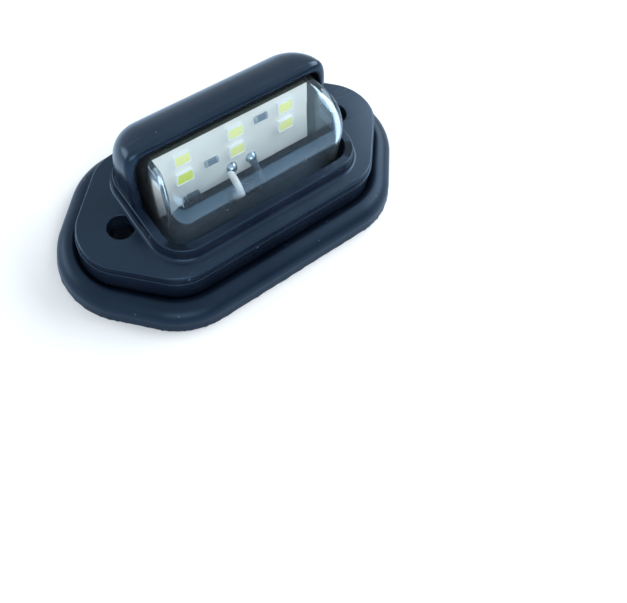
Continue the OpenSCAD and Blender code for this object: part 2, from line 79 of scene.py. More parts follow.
# %% Outline formulas
def pointed(length, width, slope, r):
    """Centres of six circles: the belt round them is a bar with two pointed ends.
    slope is the angle in degrees between a pointed end's side and the long axis."""
    x_tip, y = length / 2 - r, width / 2 - r
    x = x_tip - y / np.tan(np.radians(slope))
    return np.array([[x_tip, 0], [x, y], [-x, y], [-x_tip, 0], [-x, -y], [x, -y]], float)


def corners(x, y, r):
    """Centres of four circles: the belt round them is a rectangle of half sizes x, y with corners r."""
    return np.array([[x - r, r - y], [x - r, y - r], [r - x, y - r], [r - x, r - y]], float)


def outline(centres, r, arc_steps=16, side_steps=12):
    """Points of the belt, counter-clockwise. Corner i sweeps from the side before to the side after:
    p(a) = c_i + r (cos a, sin a). Sides are cut evenly. All radii give equally many points."""
    step = np.roll(centres, -1, axis=0) - centres
    after = np.arctan2(step[:, 1], step[:, 0]) - np.pi / 2
    before = np.roll(after, 1)
    turn = np.mod(after - before, 2 * np.pi)
    a = before[:, None] + turn[:, None] * np.linspace(0, 1, arc_steps + 1)[None, :]
    arcs = centres[:, None, :] + r * np.stack([np.cos(a), np.sin(a)], axis=-1)
    start = arcs[:, -1]
    end = np.roll(arcs[:, 0], -1, axis=0)
    t = (np.arange(1, side_steps) / side_steps)[None, :, None]
    sides = start[:, None, :] * (1 - t) + end[:, None, :] * t
    return np.concatenate([arcs, sides], axis=1).reshape(-1, 2)


def raised(points, z):
    """An outline lifted to the height z."""
    return np.column_stack([points, np.broadcast_to(z, len(points))])


def arc(x, z, r, start, end, steps=6):
    """Points of a profile's rounding: centre (x, z), angles in degrees."""
    a = np.radians(np.linspace(start, end, steps + 1))
    return [(x + r * np.cos(t), z + r * np.sin(t)) for t in a]


def stack(centres, profile, **steps):
    """One ring for each (radius, height) of the profile."""
    return np.array([raised(outline(centres, r, **steps), z) for r, z in profile])


print("a rounded rectangle has", len(outline(corners(10, 5, 2), 2)), "points")

# %% [markdown]
# ## From rings to meshes
# Neighbouring rings are joined by a belt of quads. Flat faces may have holes and are cut into
# triangles. Patches are joined by merging equal points. Only edges above an angle are marked sharp,
# so round edges shade smoothly and real creases stay crisp.

# %% Mesh helpers
SAME_POINT_M, NO_LENGTH_M = 2e-6, 1e-7


def belt(rings, closed=True):
    """A patch: the surface through m rings of n points, as quads between neighbours."""
    rings = np.asarray(rings, float)
    m, n = rings.shape[:2]
    i, j = np.meshgrid(np.arange(m - 1), np.arange(n if closed else n - 1), indexing="ij")
    k = (j + 1) % n
    quads = np.stack([i * n + j, i * n + k, (i + 1) * n + k, (i + 1) * n + j], axis=-1)
    return rings.reshape(-1, 3), quads.reshape(-1, 4).tolist()


def flat(loops, z, up=True):
    """A patch: the flat face between an outer loop and the loops of its holes."""
    loops = [np.asarray(loop)[:, :2] for loop in loops]
    points = np.concatenate(loops)
    faces = tessellate_polygon([[Vector((p[0], p[1], 0)) for p in loop] for loop in loops])
    a, b, c = (points[[f[k] for f in faces]] for k in range(3))
    turn = (b - a)[:, 0] * (c - a)[:, 1] - (b - a)[:, 1] * (c - a)[:, 0]
    ordered = [f if (t > 0) == up else f[::-1] for f, t in zip(faces, turn)]
    return raised(points, z), [list(f) for f in ordered]


def capped(rings):
    """Patches of a solid: the belt through its rings, with a flat top and bottom."""
    top, bottom = rings[-1], rings[0]
    return [belt(rings), flat([top], top[0][2]), flat([bottom], bottom[0][2], up=False)]


def circle(x, y, r, n=64):
    """Points of a circle, counter-clockwise."""
    a = np.linspace(0, 2 * np.pi, n, endpoint=False)
    return np.column_stack([x + r * np.cos(a), y + r * np.sin(a)])


def bore(x, y, profile, n=64):
    """A patch: the wall of a hole. The profile runs downwards, so the wall faces the hole's axis."""
    return belt([raised(circle(x, y, r, n), z) for r, z in profile])


def face_outwards(bm):
    """Neighbours agree first. Then each closed piece gets a positive volume: V = sum of (n . c) A / 3 over
    its faces, with normal n, middle c and area A."""
    bmesh.ops.recalc_face_normals(bm, faces=bm.faces)
    left = set(bm.faces)
    while left:
        piece = [left.pop()]
        for face in piece:
            near = {other for edge in face.edges for other in edge.link_faces if other in left}
            left -= near
            piece += sorted(near, key=lambda f: f.index)
        if sum(f.normal.dot(f.calc_center_median()) * f.calc_area() for f in piece) < 0:
            bmesh.ops.reverse_faces(bm, faces=piece)


def build(name, patches, sharp=32.0, matrix=None, weighted=True):
    """A mesh object in metres from patches in millimetres. Edges above sharp degrees stay sharp."""
    offset, verts, faces = 0, [], []
    for points, quads in patches:
        verts.append(np.asarray(points, float))
        faces += [[k + offset for k in f] for f in quads]
        offset += len(points)
    points = np.concatenate(verts) / MM_PER_M
    if matrix is not None:
        points = points @ np.array(matrix)[:3, :3].T + np.array(matrix)[:3, 3]
    mesh = bpy.data.meshes.new(name)
    mesh.from_pydata(points.tolist(), [], faces)
    bm = bmesh.new()
    bm.from_mesh(mesh)
    bmesh.ops.remove_doubles(bm, verts=bm.verts, dist=SAME_POINT_M)
    bmesh.ops.dissolve_degenerate(bm, edges=bm.edges, dist=NO_LENGTH_M)
    face_outwards(bm)
    bm.to_mesh(mesh)
    bm.free()
    mesh.shade_smooth()
    mesh.set_sharp_from_angle(angle=np.radians(sharp))
    obj = bpy.data.objects.new(name, mesh)
    bpy.context.scene.collection.objects.link(obj)
    if weighted:
        modifier = obj.modifiers.new("flat faces stay flat", "WEIGHTED_NORMAL")
        modifier.keep_sharp = True
    return obj


def place(obj, nodes, slot, *materials):
    """The finished piece rides on the lamp, stands for its CAD nodes and gets its materials: those named,
    or the one named like its slot."""
    for name in materials or [slot]:
        obj.data.materials.append(MAT[name])
    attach(obj, "root")
    if nodes:
        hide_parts(*nodes)
    return obj


print("points closer than", SAME_POINT_M * MM_PER_M, "mm are merged")

# %% [markdown]
# ## Wires
# Two insulated wires, white and black, leave the pad's outlet side by side. 150 mm of each is folded
# into a hank, as such lamps are packed. A fold is a half circle. The tie pulls the runs between the
# folds together: y = r - pull (1 + cos(2 pi (s - 1/2))) / 2, with s from 0 to 1 along the run.

# %% Wire routes
WIRE_D, WIRE_LENGTH = 1.7, 150.0
STRAIGHT, FOLD_R, RUN, PULL = 10.0, 5.1, 22.0, 3.4
OUTLET_X, FAR_X, LAST_SHIFT = 1.0, 2.8, 0.4
CROSSING = 0.62
TOP_FOLD = -STRAIGHT - WIRE_D / 2 - FOLD_R
BOTTOM_FOLD = TOP_FOLD - RUN
MIDDLE = TOP_FOLD - RUN / 2


def smooth_steps(t):
    """Goes from 0 to 1 with level ends: 3 t^2 - 2 t^3."""
    t = np.clip(t, 0, 1)
    return t * t * (3 - 2 * t)


def catmull(points, per=14):
    """A smooth curve through points, all stretches at once. Between b and c, with a before and d after:
    p(t) = (2 b + (c - a) t + (2 a - 5 b + 4 c - d) t^2 + (3 b - a - 3 c + d) t^3) / 2."""
    p = np.asarray(points, float)
    p = np.vstack([2 * p[0] - p[1], p, 2 * p[-1] - p[-2]])
    a, b, c, d = (q[:, None, :] for q in (p[:-3], p[1:-2], p[2:-1], p[3:]))
    t = (np.arange(per) / per)[None, :, None]
    square, cube = 2 * a - 5 * b + 4 * c - d, 3 * b - a - 3 * c + d
    curve = 0.5 * (2 * b + (c - a) * t + square * t**2 + cube * t**3)
    return np.vstack([curve.reshape(-1, 3), p[-2]])


def even(path, length=None, step=0.5):
    """The same line with points evenly spaced, cut off at the given length."""
    s = np.concatenate([[0], np.cumsum(np.linalg.norm(np.diff(path, axis=0), axis=1))])
    end = s[-1] if length is None else length
    at = np.linspace(0, end, int(round(end / step)) + 1)
    return np.column_stack([np.interp(at, s, path[:, k]) for k in range(3)])


def run_down(x0, x1, side=1, n=40):
    """One run of the hank from the top fold to the bottom fold; x goes from x0 to x1 in its last part."""
    s = np.linspace(0, 1, n)
    y = side * (FOLD_R - PULL * (1 + np.cos(2 * np.pi * (s - 0.5))) / 2)
    x = x0 + (x1 - x0) * smooth_steps((s - CROSSING) / (1 - CROSSING))
    return np.column_stack([x, y, TOP_FOLD - RUN * s])


def run_up(x0, x1):
    """A run on the other side of the hank: the one down, turned over."""
    points = run_down(x0, x1, -1)
    points[:, 2] = 2 * MIDDLE - points[:, 2]
    return points


def fold(x, z, start, end, n=24):
    """A turn round (y, z) = (0, z) between two angles in degrees."""
    a = np.radians(np.linspace(start, end, n))
    return np.column_stack([np.full(n, x), FOLD_R * np.cos(a), z + FOLD_R * np.sin(a)])


def wire_path(sign):
    """From the outlet straight down, into the hank and round it until the length is used up."""
    near, far = OUTLET_X * sign, FAR_X * sign
    lead_in = [(near, 0, 0), (near, 0, -3), (near, 0, -6), (near, 0.9, -9.2), (near, 3.6, -12.4)]
    hank = [fold(near, TOP_FOLD, 38, 0, 10), run_down(near, near), fold(near, BOTTOM_FOLD, 0, -180),
            run_up(near, far), fold(far, TOP_FOLD, 180, 0), run_down(far, far),
            fold(far, BOTTOM_FOLD, 0, -180), run_up(far, far + LAST_SHIFT * sign)]
    return even(np.vstack([catmull(lead_in, 10)] + hank), WIRE_LENGTH)


def tube(path, radius, sides=20):
    """Patches of a round tube along a path in millimetres, closed at both ends. Its rings are turned
    after the X axis, which no stretch of these paths follows."""
    path = np.asarray(path, float)
    radius = np.broadcast_to(radius, len(path))
    t = np.gradient(path, axis=0)
    t /= np.linalg.norm(t, axis=1)[:, None]
    u = np.array([1.0, 0, 0]) - t * t[:, :1]
    u /= np.linalg.norm(u, axis=1)[:, None]
    v = np.cross(t, u)
    a = np.linspace(0, 2 * np.pi, sides, endpoint=False)
    rings = path[:, None] + radius[:, None, None] * (
        np.cos(a)[None, :, None] * u[:, None] + np.sin(a)[None, :, None] * v[:, None])
    ends = [(rings[0], [list(range(sides))[::-1]]), (rings[-1], [list(range(sides))])]
    return [belt(rings)] + ends


paths = {"white_wire": wire_path(-1), "black_wire": wire_path(1)}
for key, path in paths.items():
    length = float(np.linalg.norm(np.diff(path, axis=0), axis=1).sum())
    print(key, "length", round(length, 2), "end", path[-1].round(1))

# %% [markdown]
# ## Materials
# Node groups give masks: fine scratches and specks of dust. The materials turn them into colour,
# roughness and a little height. All use object coordinates, so a pattern keeps its size.

# %% Node helpers
def node_group(name, **numbers):
    """An empty shader node group that takes a vector and numbers and gives one mask."""
    tree = bpy.data.node_groups.new(name, "ShaderNodeTree")
    tree.interface.new_socket(name="Vector", in_out="INPUT", socket_type="NodeSocketVector")
    for label, value in numbers.items():
        socket = tree.interface.new_socket(name=label, in_out="INPUT", socket_type="NodeSocketFloat")
        socket.default_value = value
    tree.interface.new_socket(name="Mask", in_out="OUTPUT", socket_type="NodeSocketFloat")
    return tree, tree.nodes.new("NodeGroupInput").outputs, tree.nodes.new("NodeGroupOutput").inputs


def feed(tree, socket, value):
    """Gives an input a number, a colour or another node's output."""
    if isinstance(value, bpy.types.NodeSocket):
        tree.links.new(value, socket)
    else:
        socket.default_value = (*value, 1.0) if socket.type == "RGBA" else value


def set_inputs(tree, node, **values):
    """Feeds a node's inputs by name."""
    for label, value in values.items():
        feed(tree, node.inputs[label.replace("_", " ")], value)
    return node


def add_node(tree, kind, **values):
    """A new node with its inputs set."""
    return set_inputs(tree, tree.nodes.new("ShaderNode" + kind), **values)


def noise(tree, at, scale, detail=3.0, roughness=0.5):
    """The value of a noise texture on the given coordinates."""
    node = add_node(tree, "TexNoise", Vector=at, Scale=scale, Detail=detail, Roughness=roughness)
    return node.outputs["Fac"]


def remap(tree, value, low, high, to_low=0.0, to_high=1.0):
    """Takes low..high to to_low..to_high, clamped."""
    ends = dict(From_Min=low, From_Max=high, To_Min=to_low, To_Max=to_high)
    return add_node(tree, "MapRange", Value=value, **ends).outputs["Result"]


def maths(tree, kind, a, b=0.0):
    """a and b, sockets or numbers, joined by the operation."""
    node = tree.nodes.new("ShaderNodeMath")
    node.operation = kind
    feed(tree, node.inputs[0], a)
    feed(tree, node.inputs[1], b)
    return node.outputs[0]


def times(tree, a, b):
    """a times b."""
    return maths(tree, "MULTIPLY", a, b)


def larger(tree, a, b):
    """The larger one of a and b."""
    return maths(tree, "MAXIMUM", a, b)


def axes_of(tree, vector):
    """The X, Y and Z values of a vector, by name."""
    return add_node(tree, "SeparateXYZ", Vector=vector).outputs


# %% Masks
SCRATCH_DIRECTIONS = ((25, 900), (-38, 1300), (80, 1100))
SCRATCH_STRETCH, SCRATCH_WIDTH = (0.035, 1.0, 0.6), 0.012


def scratches_group():
    """Thin broken lines in three directions: noise stretched along each direction, cut near its middle
    value, and kept only where a slower noise is high."""
    tree, inputs, out = node_group("fine scratches", Density=0.5)
    total = None
    for k, (angle, scale) in enumerate(SCRATCH_DIRECTIONS):
        turn = add_node(tree, "Mapping", Vector=inputs["Vector"], Scale=SCRATCH_STRETCH,
                        Rotation=(0.2 * k, 0.15, np.radians(angle)))
        line = noise(tree, turn.outputs["Vector"], scale, 1.0, 0.4)
        near = maths(tree, "ABSOLUTE", maths(tree, "SUBTRACT", line, 0.5))
        thin = remap(tree, near, 0.0, SCRATCH_WIDTH, 1.0, 0.0)
        patch = noise(tree, inputs["Vector"], 90 + 40 * k, 2.0)
        kept = times(tree, thin, remap(tree, patch, 0.56, 0.68))
        total = kept if total is None else larger(tree, total, kept)
    feed(tree, out["Mask"], times(tree, total, inputs["Density"]))
    return tree


def dust_group():
    """Small specks: the middles of scattered cells, each kept or dropped by its own random number."""
    tree, inputs, out = node_group("dust specks", Scale=500.0, Amount=0.1)
    cells = add_node(tree, "TexVoronoi", Vector=inputs["Vector"], Scale=inputs["Scale"], Randomness=1.0)
    speck = remap(tree, cells.outputs["Distance"], 0.10, 0.16, 1.0, 0.0)
    pick = add_node(tree, "SeparateColor", Color=cells.outputs["Color"])
    chosen = maths(tree, "LESS_THAN", pick.outputs["Red"], inputs["Amount"])
    feed(tree, out["Mask"], times(tree, speck, chosen))
    return tree


SCRATCHES, DUST = scratches_group(), dust_group()
print("groups:", [g.name for g in bpy.data.node_groups])

# %% [markdown]
# Black plastic is seen by what it mirrors, and the photo's light is bluish, so the dark materials have
# a very dark base and a bluish gloss. The lens is a real shell that bends and mirrors light. It would
# keep light away from the board, so for rays that look for light it is a plain clear film.

# %% Material helpers
BLUE_GLOSS, LENS_GLOSS = (0.40, 0.68, 1.0), (0.50, 0.78, 1.0)
DARK = 0.1


def new_material(name, color, roughness, specular=0.5, **sockets):
    """A principled material, with a bluish gloss if its red is below DARK. Returns it with its tree,
    shader and object coordinates."""
    material = bpy.data.materials.new(name)
    material.use_nodes = True
    tree = material.node_tree
    shader = tree.nodes["Principled BSDF"]
    set_inputs(tree, shader, Base_Color=color, Roughness=roughness, Specular_IOR_Level=specular, **sockets)
    if color[0] < DARK:
        set_inputs(tree, shader, Specular_Tint=BLUE_GLOSS)
    coords = tree.nodes.new("ShaderNodeTexCoord").outputs["Object"]
    return material, tree, shader, coords


def group(tree, which, coords, **values):
    """A node group placed in a material; its mask."""
    node = tree.nodes.new("ShaderNodeGroup")
    node.node_tree = which
    return set_inputs(tree, node, Vector=coords, **values).outputs["Mask"]


def mix_colour(tree, mask, a, b):
    """Colour a where the mask is 0, b where it is 1."""
    node = tree.nodes.new("ShaderNodeMix")
    node.data_type = "RGBA"
    for label, value in (("A", a), ("B", b)):
        feed(tree, next(s for s in node.inputs if s.name == label and s.type == "RGBA"), value)
    feed(tree, node.inputs["Factor"], mask)
    return next(s for s in node.outputs if s.type == "RGBA")


def bump(tree, shader, height, strength, distance=0.0001):
    """A height in the shader's normal."""
    node = add_node(tree, "Bump", Strength=strength, Distance=distance, Height=height)
    set_inputs(tree, shader, Normal=node.outputs["Normal"])


def mix_shaders(tree, mask, a, b):
    """Shader a where the mask is 0, b where it is 1."""
    node = add_node(tree, "MixShader", Fac=mask)
    feed(tree, node.inputs[1], a.outputs[0])
    feed(tree, node.inputs[2], b.outputs[0])
    return node.outputs[0]


print("gloss:", BLUE_GLOSS, LENS_GLOSS)

# %% Plastic, rubber and lens
HOUSING_TONES = ((0.005, 0.009, 0.018), (0.009, 0.014, 0.027))
PAD_TONES = ((0.003, 0.006, 0.014), (0.006, 0.011, 0.024))
HOUSING_MARKS, PAD_DUST = (0.10, 0.14, 0.20), (0.14, 0.18, 0.24)
LENS_TINT, FILM_TINT = (0.87, 0.95, 1.0), (0.93, 0.95, 0.97)


def black_plastic():
    """The housing: blue-black, satin, with fine scratches, a few specks and a barely uneven polish."""
    material, tree, shader, co = new_material("housing_plastic", (0.003, 0.005, 0.009), 0.22)
    scratch = group(tree, SCRATCHES, co, Density=0.8)
    dust = group(tree, DUST, co, Scale=420.0, Amount=0.05)
    marks = larger(tree, times(tree, scratch, 0.22), times(tree, dust, 0.5))
    tone = noise(tree, co, 60, 4.0)
    base = mix_colour(tree, remap(tree, tone, 0.35, 0.65), *HOUSING_TONES)
    rough = maths(tree, "ADD", remap(tree, tone, 0.3, 0.7, 0.17, 0.26), times(tree, marks, 0.3))
    set_inputs(tree, shader, Base_Color=mix_colour(tree, marks, base, HOUSING_MARKS), Roughness=rough)
    grain = noise(tree, co, 2600, 2.0)
    bump(tree, shader, maths(tree, "SUBTRACT", times(tree, grain, 0.1), scratch), 0.05)
    return material


def pad_rubber():
    """The pad: matt rubber with a fine grain, dull smears and pale dust."""
    material, tree, shader, co = new_material("pad_rubber", (0.005, 0.008, 0.014), 0.4, 0.34)
    smear = noise(tree, co, 45, 5.0, 0.6)
    base = mix_colour(tree, remap(tree, smear, 0.3, 0.7), *PAD_TONES)
    dust = times(tree, group(tree, DUST, co, Scale=700.0, Amount=0.07), 0.4)
    rough = remap(tree, smear, 0.3, 0.7, 0.30, 0.42)
    set_inputs(tree, shader, Base_Color=mix_colour(tree, dust, base, PAD_DUST), Roughness=rough)
    bump(tree, shader, noise(tree, co, 3200, 3.0, 0.6), 0.25)
    return material


def clear_plastic():
    """The lens: clear, with a bluish gloss, a little cloudy at its ends and foot, with faint waves,
    scratches and specks of dust."""
    material, tree, shader, co = new_material("clear_plastic", LENS_TINT, 0.02, 1.0, IOR=1.58,
                                              Transmission_Weight=0.985, Specular_Tint=LENS_GLOSS)
    bump(tree, shader, noise(tree, co, 120, 2.0), 0.03)
    at = axes_of(tree, co)
    ends = remap(tree, maths(tree, "ABSOLUTE", at["X"]), 0.0195, 0.0215)
    foot = remap(tree, at["Z"], 0.0215, 0.0185)
    dust = group(tree, DUST, co, Scale=500.0, Amount=0.03)
    marks = larger(tree, dust, group(tree, SCRATCHES, co, Density=0.6))
    cloud = times(tree, larger(tree, ends, foot), 0.05)
    set_inputs(tree, shader, Roughness=maths(tree, "ADD", cloud, remap(tree, marks, 0, 1, 0.02, 0.35)))
    film = add_node(tree, "BsdfTransparent", Color=FILM_TINT)
    rays = add_node(tree, "LightPath").outputs
    looking = larger(tree, rays["Is Shadow Ray"], rays["Is Diffuse Ray"])
    set_inputs(tree, tree.nodes["Material Output"], Surface=mix_shaders(tree, looking, shader, film))
    return material


MAT = {"housing_plastic": black_plastic(), "pad_rubber": pad_rubber(), "clear_plastic": clear_plastic()}
print("large materials:", list(MAT))

# %% [markdown]
# Two close tones and a fine grain keep the small parts from looking like flat colour. Each row has the
# tones, roughness, scale, grain, specular level and metallic.

# %% Small parts' materials
SMALL_PARTS = {
    # The hood's inside: a darker, less glossy copy of the housing plastic, as painted shade.
    "hood_inside_shade": ((0.002, 0.003, 0.006), (0.004, 0.006, 0.010), 0.38, 800, 0.1, 0.18),
    # The board's side faces: the substrate's green-grey, darkened as painted shade from the hood's rim.
    "board_edge_shaded": ((0.05, 0.06, 0.04), (0.10, 0.12, 0.07), 0.5, 900),
    "cover_plastic": ((0.003, 0.004, 0.006), (0.006, 0.008, 0.012), 0.4),
    "led_body": ((0.90, 0.91, 0.89), (0.95, 0.96, 0.94), 0.4, 900, 0.03),
    "phosphor_yellow": ((0.95, 0.95, 0.26), (0.98, 0.98, 0.36), 0.3, 1500, 0.05),
    "phosphor_lime": ((0.72, 0.84, 0.03), (0.80, 0.90, 0.08), 0.3, 1500, 0.05),
    "resistor_grey": ((0.10, 0.14, 0.19), (0.16, 0.21, 0.27), 0.35),
    "diode_black": ((0.01, 0.01, 0.012), (0.025, 0.025, 0.03), 0.45),
    "solder": ((0.26, 0.33, 0.40), (0.42, 0.50, 0.57), 0.20, 900, 0.3, 0.5, 1.0),
    "dull_tin": ((0.14, 0.18, 0.22), (0.46, 0.52, 0.55), 0.35, 1600, 0.2),
    "wire_white": ((0.70, 0.71, 0.68), (0.78, 0.79, 0.76), 0.4, 500, 0.08),
    "wire_black": ((0.014, 0.016, 0.02), (0.026, 0.028, 0.034), 0.38, 500, 0.08),
    "tie_plastic": ((0.012, 0.013, 0.016), (0.024, 0.025, 0.03), 0.42),
}


def plain_part(name, low, high, roughness, scale=800, height=0.1, specular=0.5, metallic=0.0):
    """Two close tones, low and high, mottled by a noise, which is also the grain's height."""
    material, tree, shader, co = new_material(name, low, roughness, specular, Metallic=metallic)
    tone = noise(tree, co, scale, 4.0, 0.6)
    set_inputs(tree, shader, Base_Color=mix_colour(tree, remap(tree, tone, 0.3, 0.7), low, high))
    bump(tree, shader, tone, height)
    return material


MAT.update({name: plain_part(name, *look) for name, look in SMALL_PARTS.items()})
print("materials:", len(MAT))

# %% [markdown]
# ## Rubber pad
# The pad seals the lamp against the body panel. Its rim is rolled: a quarter round from its edge up to
# its crest. From there the surface falls into the groove next to the housing. Crest and groove follow
# different outlines, so between them p = crest + t (groove - crest), z = top - depth t^2.

# %% Rubber pad
PAD = dict(length=89.0, width=50.0, slope=46.4, r=18.0, floor=2.5, rim=5.5, crest_in=4.0, groove=1.7)
BASE = dict(length=78.0, width=37.2, slope=45.5, r=10.6, top=11.8, plate=2.2, lip=2.2, step=0.3, edge=0.5)
FINE = dict(arc_steps=28, side_steps=30)
HOLE_X, RELIEF_Y = 29.35, 12.45
SCREW_R, RELIEF_R, OUTLET_R = 2.75, 2.9, 2.5
HOUSING_GAP, CREST_FLAT, FOOT_HEIGHT, RAGGED = 0.15, 0.3, 0.35, 0.14

pad_c = pointed(PAD["length"], PAD["width"], PAD["slope"], PAD["r"])
base_c = pointed(BASE["length"], BASE["width"], BASE["slope"], BASE["r"])
skirt_r = BASE["r"] + BASE["step"]


def unevenness(loop):
    """How far each point of the pad's lower edge is pushed outwards, at most by RAGGED: half the sum of
    a wave and random steps. Outwards is the edge's direction turned by a right angle."""
    wave = 0.10 * np.sin(np.arange(len(loop)) * 2.1) + 0.12 * rng.standard_normal(len(loop))
    outwards = (loop - np.roll(loop, 1, axis=0)) @ np.array([[0, -1], [1, 0]])
    outwards /= np.linalg.norm(outwards, axis=1)[:, None]
    return outwards * np.clip(0.02 + 0.5 * wave, 0, RAGGED)[:, None]


bead = PAD["crest_in"] - CREST_FLAT
crest_r = PAD["r"] - PAD["crest_in"]
rim_profile = [(PAD["r"], 0.0), (PAD["r"], FOOT_HEIGHT)] + arc(crest_r, PAD["rim"] - bead, bead, 0, 90, 14)
outer = stack(pad_c, rim_profile, **FINE)
outer[0, :, :2] += unevenness(outline(pad_c, PAD["r"], **FINE))
crest = outline(pad_c, crest_r, **FINE)
recess = outline(base_c, skirt_r + HOUSING_GAP, **FINE)
inner = [raised(crest + t * (recess - crest), PAD["rim"] - PAD["groove"] * t**2)
         for t in np.linspace(0, 1, 9)[1:]]
holes = [(HOLE_X, 0, SCREW_R), (-HOLE_X, 0, SCREW_R), (0, RELIEF_Y, RELIEF_R), (0, -RELIEF_Y, RELIEF_R),
         (0, 0, OUTLET_R)]
hole_loops = [circle(*h)[::-1] for h in holes]
pad = build("rubber_pad_skin", [
    belt(np.concatenate([outer, inner])),
    belt([raised(recess, PAD["rim"] - PAD["groove"]), raised(recess, PAD["floor"])]),
    flat([outer[0]] + hole_loops, 0.0, up=False),
    flat([recess] + hole_loops, PAD["floor"]),
] + [bore(x, y, [(r, PAD["floor"]), (r, 0.0)]) for x, y, r in holes], sharp=40)
place(pad, ["rubber_pad"], "pad_rubber")
print("pad faces:", len(pad.data.polygons))

# %% [markdown]
# ## Housing
# The housing is one moulding of plate, frame and hood. Joined solids would have hard seams, so it is all
# rings. The hood is a half dome over the frame's back. At the angle a from 0 to 90 degrees of its rise
#
#     half length = 25.8 - 4.1 (1 - cos a)^2      half width = 14.74 - 9.45 (1 - cos a)
#     height      = 29.8 - 10.76 (1 - sin a)      corner     = 9.0 - 4.6 (1 - cos a)
#
# The squared term keeps the ends upright for longer than the back, as in the photo.

# %% Hood
FRAME = dict(x=26.3, y=15.25, r=7.6, top=14.8, draft=0.35, band=2.08, foot=0.8, edge=0.28, mouth=0.25)
HOOD = dict(x=25.8, y=14.74, top=29.8, rise=10.76, back=9.45, end=4.1, r0=9.0, r1=4.4)
INNER_R0, INNER_R1, INNER_END = 7.07, 3.0, HOOD["end"] - 0.9
ROOF, RIM_ROUND, RIM_Y, LEAN = 1.6, 1.3, -0.2, np.tan(np.radians(9.0))
LIP_COLUMNS = 25


def rim_front(z):
    """Distance of the rim's front from the long axis: it leans back as it rises."""
    return RIM_Y + (z - FRAME["top"]) * LEAN


def wall_line(x, y, r, front, z, steps=36, back_steps=16):
    """Half an outline at the height z, from the right rim round the back to the left rim, with even steps
    on its right part: a straight stretch up to y - r and a corner's arc. Near the hood's top the rim lies
    on the arc itself, at the angle a0 with y - r + r sin a0 = front."""
    straight = max(y - r - front, 0.0)
    a0 = np.arcsin(np.clip((front - y + r) / r, 0.0, 1.0))
    s = np.linspace(0, straight + r * (np.pi / 2 - a0), steps + 1)
    a = a0 + np.maximum(s - straight, 0) / r
    right = np.column_stack([x - r + r * np.cos(a), y - r + r * np.sin(a) - np.maximum(straight - s, 0)])
    left = right[::-1] * [-1, 1]
    t = np.linspace(0, 1, back_steps + 1)[1:-1, None]
    return raised(np.vstack([right, right[-1:] * (1 - t) + left[:1] * t, left]), z)


def hood_rings(steps=22, nose=9):
    """Outer wall, left rim, inner wall and right rim of the hood for each level of its rise. A rim is a
    quarter ellipse from the outer to the inner wall: p = out + (in - out) (1 - cos t, sin t, 1 - cos t)."""
    a = np.radians(np.concatenate([[0, 0, 0], np.linspace(0, 90, steps + 1)]))
    climb = np.concatenate([[0, 1 / 3, 2 / 3], np.ones(steps + 1)])
    side, end = 1 - np.cos(a), (1 - np.cos(a)) ** 2
    low = FRAME["top"]
    z_out = low + climb * (HOOD["top"] - HOOD["rise"] * (1 - np.sin(a)) - low)
    z_in = low + climb * (HOOD["top"] - ROOF - (HOOD["rise"] - ROOF) * (1 - np.sin(a)) - low)
    t = np.linspace(0, np.pi / 2, nose)[1:-1, None]
    weight = np.hstack([1 - np.cos(t), np.sin(t), 1 - np.cos(t)])
    ix, iy = (FRAME[k] - FRAME["draft"] - FRAME["band"] for k in ("x", "y"))
    rings = []
    for s, e, zo, zi in zip(side, end, z_out, z_in):
        out = wall_line(HOOD["x"] - HOOD["end"] * e, HOOD["y"] - HOOD["back"] * s,
                        HOOD["r0"] + (HOOD["r1"] - HOOD["r0"]) * s, rim_front(zo) + RIM_ROUND, zo)
        inn = wall_line(ix - INNER_END * e, iy - (HOOD["back"] - HOOD["y"] + iy) * s,
                        INNER_R0 + (INNER_R1 - INNER_R0) * s, rim_front(zi), zi)
        left = out[-1] + (inn[-1] - out[-1]) * weight
        right = out[0] + (inn[0] - out[0]) * weight
        rings.append((out, left, inn[::-1], right[::-1]))
    return rings


rings = hood_rings()
full = np.array([np.vstack(ring) for ring in rings])
outer_top, left_top, inner_top, right_top = rings[-1]
lip_left = np.vstack([outer_top[-1:], left_top, inner_top[:1]])
lip_right = np.vstack([outer_top[:1], right_top[::-1], inner_top[-1:]])
t = np.linspace(0, 1, LIP_COLUMNS)[None, :, None]
lip = lip_right[:, None] * (1 - t) + lip_left[:, None] * t
hood_patches = [
    belt(full),
    flat([full[0]], FRAME["top"], up=False),
    flat([np.vstack([outer_top, lip[0, -2:0:-1]])], HOOD["top"]),
    flat([np.vstack([inner_top[::-1], lip[-1, -2:0:-1]])], HOOD["top"] - ROOF, up=False),
    belt(lip, closed=False),
]
print("hood levels:", len(full), "points on each:", len(full[0]))

# %% Plate, frame and well
SKIRT_ROUND = 0.16
RECESS_R, RECESS_DEPTH, RECESS_ROUND = 3.0, 2.6, 0.25
CHAMBER_OUT = 1.85
ROUND = dict(arc_steps=22, side_steps=20)

frame_c = corners(FRAME["x"], FRAME["y"], FRAME["r"])
open_r = FRAME["r"] - FRAME["draft"] - FRAME["band"]
chamber_r = open_r + CHAMBER_OUT
TOP, LIP, FLOOR = BASE["top"], BASE["top"] - BASE["lip"], PAD["floor"]
PLATE_BOTTOM = TOP - BASE["plate"]

